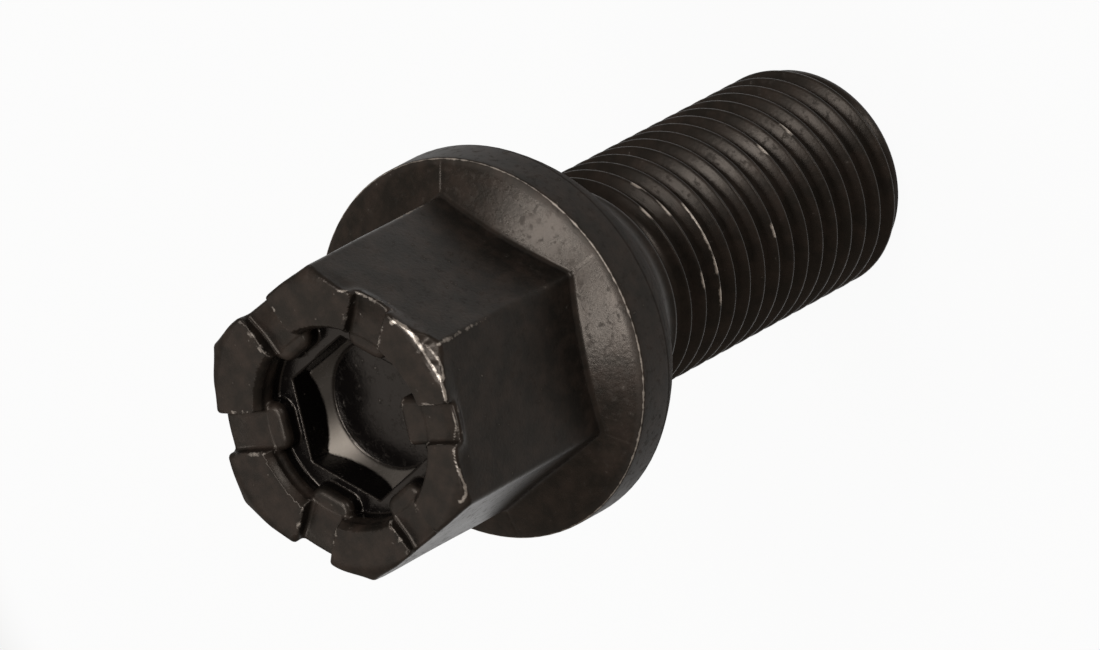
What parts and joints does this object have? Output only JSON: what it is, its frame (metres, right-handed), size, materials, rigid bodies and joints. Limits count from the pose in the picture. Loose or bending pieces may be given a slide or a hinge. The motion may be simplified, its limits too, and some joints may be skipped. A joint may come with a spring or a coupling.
{
  "type": "wheel bolt",
  "caption": "Hexagon-headed wheel bolt with a round flange, a ball seat under it, a fine-threaded shank, and a slotted hollow in the head for a cap or key.",
  "frame": {"origin": "centre of the shank's flat end face, on which the bolt stands", "axes": "+Z along the bolt's axis from the shank's end to the head's face; two opposite corners of the hexagon lie on Y"},
  "size_m": [0.0234, 0.0234, 0.0479],
  "materials": {
    "black_steel": "forged steel, black phosphated and oiled, satin, worn bright on the edges"
  },
  "bodies": {
    "root": {"wheel_bolt": "black_steel"}
  },
  "joints": []
}
